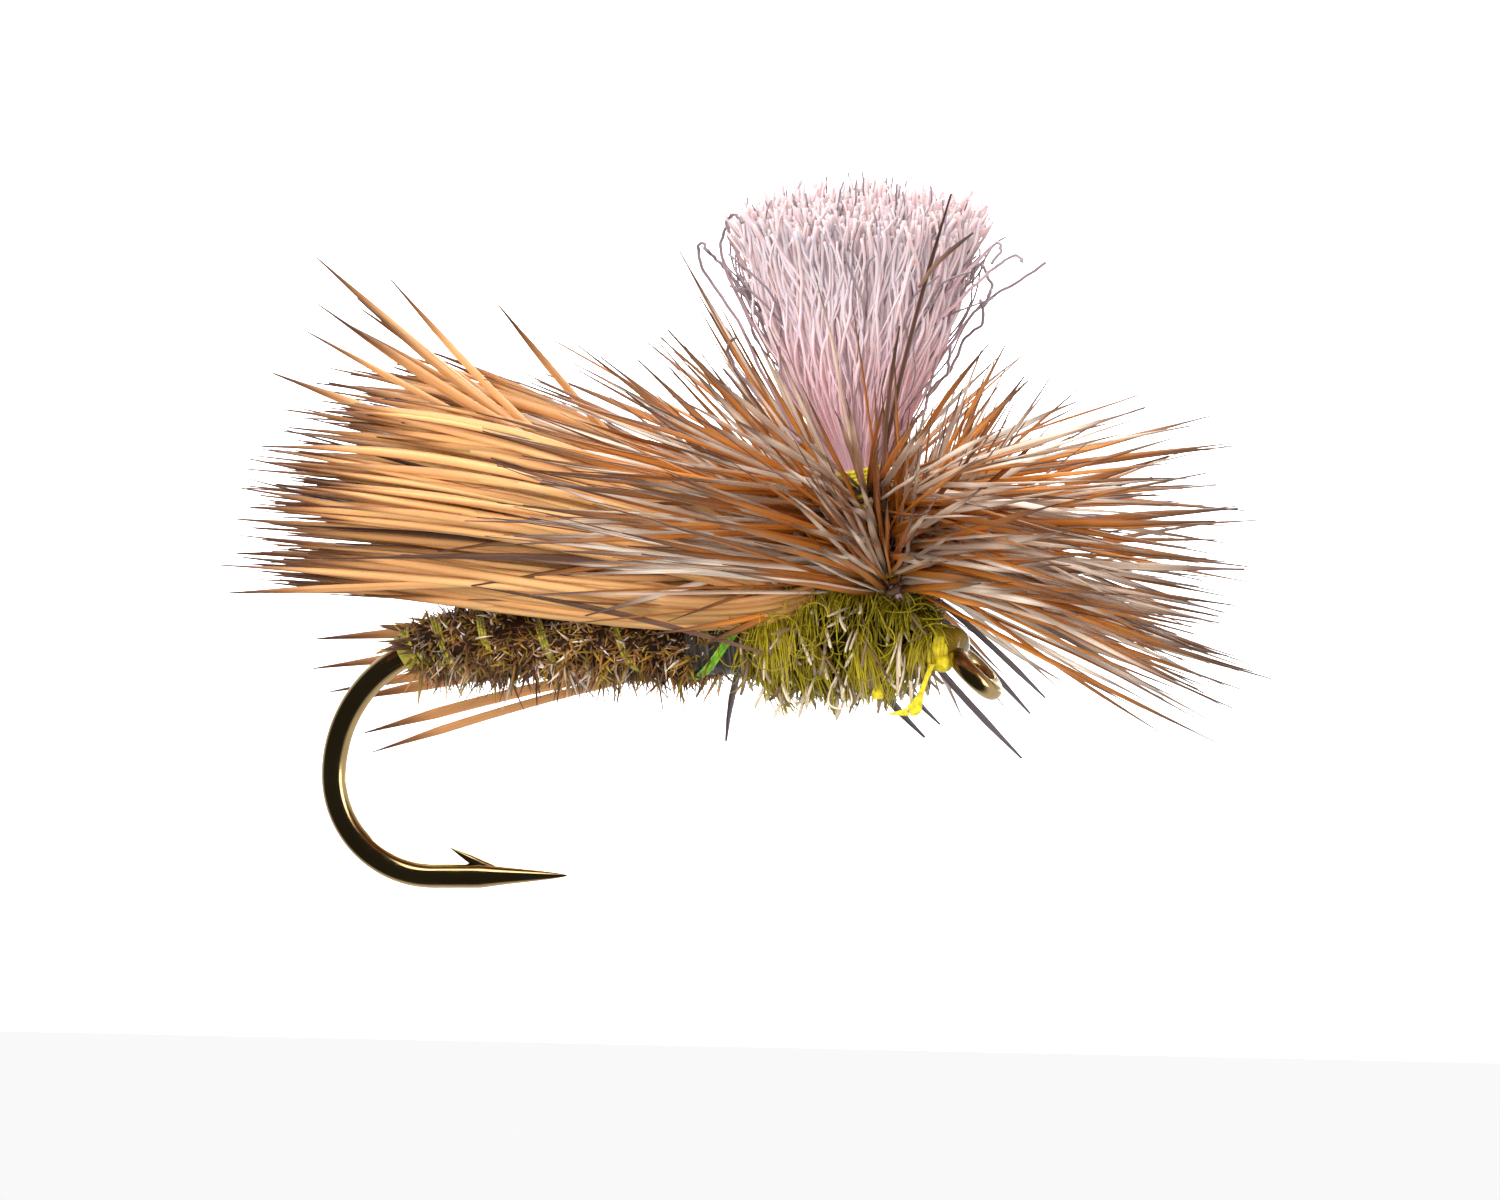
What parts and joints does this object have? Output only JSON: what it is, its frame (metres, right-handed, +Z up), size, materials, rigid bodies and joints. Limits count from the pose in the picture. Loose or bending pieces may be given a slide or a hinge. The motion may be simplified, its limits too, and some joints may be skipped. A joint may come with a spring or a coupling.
{
  "type": "dry_fly",
  "caption": "Parachute caddis dry fly: swept hair wing, wound hackle round an upright flared post, olive thorax and ribbed abdomen on a down-eye barbed hook.",
  "frame": {"origin": "the centre of the hook eye's hole", "axes": "+X forward along the hook shank to the eye, +Y the fly's left side, +Z up the parachute post"},
  "size_m": [0.0208, 0.0163, 0.0149],
  "materials": {
    "bronzed_wire": "dark bronzed hook wire, semi-gloss, straw-coloured glints",
    "olive_thread": "waxed yellow-olive tying thread, slight sheen",
    "yellow_thread": "bright yellow flattened tying thread, slight sheen",
    "dark_dubbing": "dark brown and purple dubbed herl, matt with fine glints",
    "glossy_quill": "bare dark grey feather quill, glossy",
    "tan_hair": "tan hollow body hair with dark brown tips, satin",
    "pink_post_yarn": "pink-white crinkled synthetic yarn, soft sheen",
    "brown_hackle": "rust brown feather barbs, satin, dark tips",
    "cream_hackle": "cream feather barbs barred with grey-mauve, satin",
    "olive_dubbing": "olive-yellow fine dubbing, matt",
    "guard_hair": "stiff mixed tan and dark guard hair, satin",
    "amber_cement": "clear amber head cement, glossy"
  },
  "bodies": {
    "root": {"hook": "bronzed_wire", "thread_underbody": "olive_thread", "rear_tie_off": "olive_thread", "abdomen": "dark_dubbing", "abdomen_flues": "dark_dubbing", "abdomen_rib": "olive_thread", "herl_tips": "dark_dubbing", "quill_turns": "glossy_quill", "wing_hairs": "tan_hair", "wing_wraps": "olive_thread", "post_root": "pink_post_yarn", "post_fibres": "pink_post_yarn", "post_wraps": "yellow_thread", "hackle_stem_brown": "brown_hackle", "hackle_barbs_brown": "brown_hackle", "hackle_stem_grizzly": "cream_hackle", "hackle_barbs_grizzly": "cream_hackle", "hackle_tie_down": "yellow_thread", "hackle_butts": "brown_hackle", "thorax_dubbing": "olive_dubbing", "thorax_guard_hairs": "guard_hair", "head_wraps": "yellow_thread", "whip_finish": "yellow_thread", "head_cement": "amber_cement", "thread_tag": "yellow_thread"}
  },
  "joints": []
}
